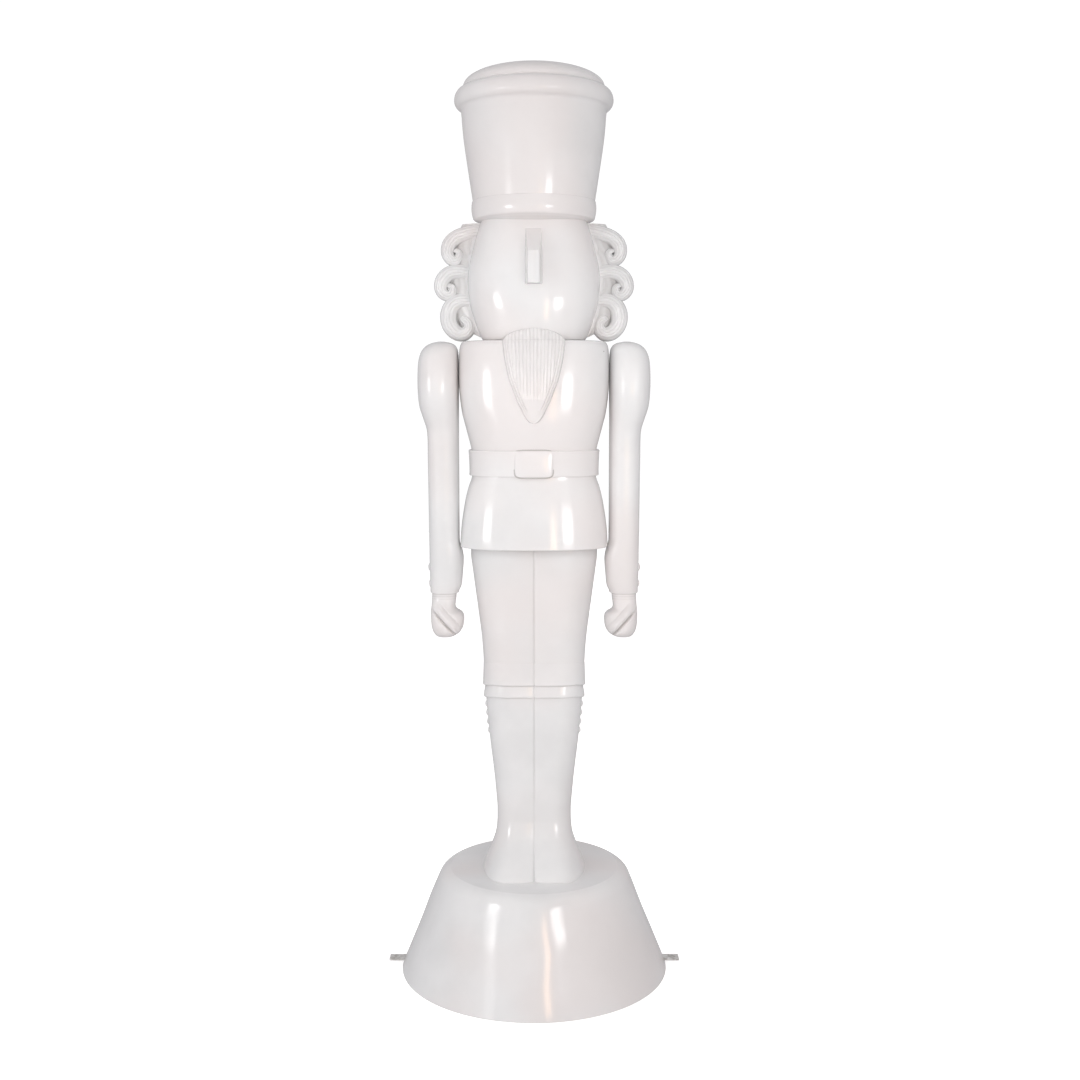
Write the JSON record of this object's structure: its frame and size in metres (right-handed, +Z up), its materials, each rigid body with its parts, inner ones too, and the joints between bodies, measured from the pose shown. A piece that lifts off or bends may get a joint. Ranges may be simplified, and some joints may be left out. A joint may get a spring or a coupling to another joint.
{
  "type": "giant nutcracker soldier figure",
  "caption": "Tall white nutcracker soldier figure with flared hat, curled hair and long beard, standing on a round cone base with drilled tie-down lugs.",
  "frame": {"origin": "centre of the underside, on the floor under the hat's axis", "axes": "+Z up through the hat, -Y the way the face looks, +X the figure's own left"},
  "size_m": [0.604, 0.5498, 1.82],
  "materials": {
    "gelcoat": "glossy white gelcoat over hand-laid glass fibre, unpainted",
    "plywood": "raw birch plywood",
    "primed_steel": "grey primer on mild steel tube and plate",
    "bar_steel": "bright mild steel flat bar, dull",
    "zinc_fasteners": "zinc plated"
  },
  "bodies": {
    "root": {"base_shell": "gelcoat", "base_board": "plywood", "deck_board": "plywood", "tie_down_bar": "bar_steel", "bar_screws": "zinc_fasteners", "flange_screws": "zinc_fasteners", "foot_plate": "primed_steel", "foot_bolts": "zinc_fasteners", "foot_washers": "zinc_fasteners", "foot_nuts": "zinc_fasteners", "upright_left": "primed_steel", "upright_right": "primed_steel", "hip_cross_tube": "primed_steel", "spine_tube": "primed_steel", "shoulder_tube_left": "primed_steel", "shoulder_tube_right": "primed_steel", "head_plate": "primed_steel", "head_plate_screws": "zinc_fasteners", "legs_front_shell": "gelcoat", "legs_back_shell": "gelcoat", "boot_cuff_upper": "gelcoat", "boot_cuff_lower": "gelcoat", "boot_buttons_left": "gelcoat", "boot_buttons_right": "gelcoat", "hip_board": "plywood", "coat_front_shell": "gelcoat", "coat_back_shell": "gelcoat", "shoulder_board": "plywood", "belt": "gelcoat", "belt_buckle": "gelcoat", "arm_left": "gelcoat", "arm_right": "gelcoat", "sleeve_buttons_left": "gelcoat", "sleeve_buttons_right": "gelcoat", "hand_left": "gelcoat", "hand_right": "gelcoat", "head_front_shell": "gelcoat", "head_back_shell": "gelcoat", "nose": "gelcoat", "beard": "gelcoat", "back_hair": "gelcoat", "hair_top_left": "gelcoat", "hair_top_right": "gelcoat", "hair_middle_left": "gelcoat", "hair_middle_right": "gelcoat", "hair_bottom_left": "gelcoat", "hair_bottom_right": "gelcoat", "hat_board": "plywood", "hat_shell": "gelcoat", "hat_band": "gelcoat", "hat_crown": "gelcoat"}
  },
  "joints": []
}
